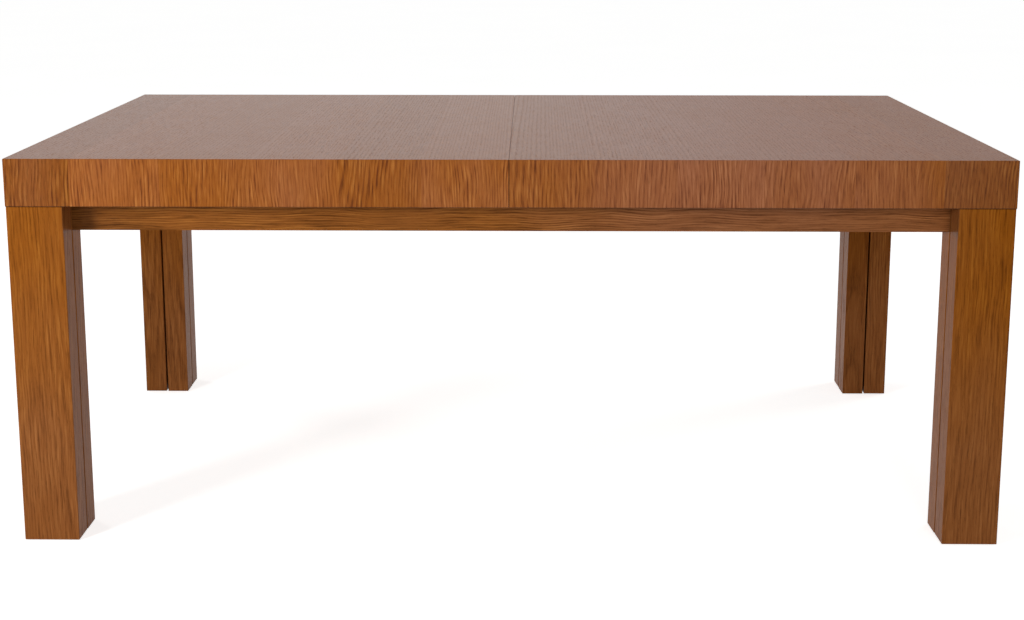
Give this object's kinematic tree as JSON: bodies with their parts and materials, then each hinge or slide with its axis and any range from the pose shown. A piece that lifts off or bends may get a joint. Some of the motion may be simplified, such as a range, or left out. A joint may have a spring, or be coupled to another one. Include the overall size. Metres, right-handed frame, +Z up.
{
  "type": "extension dining table",
  "caption": "Extension Parsons dining table in stained oak: slab top split at mid-length, its halves sliding apart, square outer legs wrapped round the inner posts of a fixed frame.",
  "frame": {"origin": "on the floor under the middle of the closed table", "axes": "+X along the table towards the right half, -Y the front, +Z up"},
  "size_m": [1.829, 1.016, 0.73],
  "materials": {
    "oak_top": "satin lacquer, grain front to back",
    "oak_skirt": "satin lacquer, upright grain",
    "oak_leg": "satin lacquer, upright grain",
    "oak_rail": "satin lacquer, lengthwise grain",
    "beech": "planed, waxed on the slides",
    "zinc_steel": "zinc plated",
    "lock_steel": "nickel plated, satin",
    "glide_nylon": "matt"
  },
  "bodies": {
    "frame": {"inner_post_front_left": "oak_leg", "inner_post_front_right": "oak_leg", "inner_post_rear_left": "oak_leg", "inner_post_rear_right": "oak_leg", "frame_rail_front": "oak_rail", "frame_rail_rear": "oak_rail", "frame_end_rail_left": "oak_rail", "frame_end_rail_right": "oak_rail", "centre_bearer": "beech", "slide_guide_front": "beech", "slide_guide_rear": "beech", "corner_brace_front_left": "beech", "corner_brace_front_right": "beech", "corner_brace_rear_left": "beech", "corner_brace_rear_right": "beech", "brace_bolts": "zinc_steel", "brace_nuts": "zinc_steel", "guide_screws": "zinc_steel", "post_glides": "glide_nylon"},
    "top_left": {"top_panel_left": "oak_top", "skirt_front_left": "oak_skirt", "skirt_rear_left": "oak_skirt", "skirt_end_left": "oak_skirt", "centre_batten_left": "beech", "leg_front_left": "oak_leg", "leg_rear_left": "oak_leg", "leg_block_front_left": "beech", "leg_block_rear_left": "beech", "slide_runner_front_left": "beech", "slide_runner_rear_left": "beech", "panel_screws_left": "zinc_steel", "leg_screws_left": "zinc_steel", "stop_pegs_left": "beech", "leg_glides_left": "glide_nylon", "lock_screws_left": "zinc_steel", "alignment_pins": "beech", "lock_base_front": "lock_steel", "lock_base_rear": "lock_steel"},
    "top_right": {"top_panel_right": "oak_top", "skirt_front_right": "oak_skirt", "skirt_rear_right": "oak_skirt", "skirt_end_right": "oak_skirt", "centre_batten_right": "beech", "leg_front_right": "oak_leg", "leg_rear_right": "oak_leg", "leg_block_front_right": "beech", "leg_block_rear_right": "beech", "slide_runner_front_right": "beech", "slide_runner_rear_right": "beech", "panel_screws_right": "zinc_steel", "leg_screws_right": "zinc_steel", "stop_pegs_right": "beech", "leg_glides_right": "glide_nylon", "lock_screws_right": "zinc_steel", "lock_keeper_front": "lock_steel", "lock_keeper_rear": "lock_steel"},
    "lock_lever_front": {"lock_lever_front": "lock_steel"},
    "lock_lever_rear": {"lock_lever_rear": "lock_steel"}
  },
  "joints": [
    {"name": "left_half_slide", "type": "slide", "parent": "frame", "child": "top_left", "axis": [-1, 0, 0], "range_m": [0, 0.457]},
    {"name": "right_half_slide", "type": "slide", "parent": "frame", "child": "top_right", "axis": [1, 0, 0], "range_m": [0, 0.457]},
    {"name": "lock_front_turn", "type": "hinge", "parent": "top_left", "child": "lock_lever_front", "pos_m": [-0.0303, -0.23, 0.686], "axis": [0, 0, 1], "range_deg": [0, 90]},
    {"name": "lock_rear_turn", "type": "hinge", "parent": "top_left", "child": "lock_lever_rear", "pos_m": [-0.0303, 0.23, 0.686], "axis": [0, 0, 1], "range_deg": [0, 90]}
  ]
}
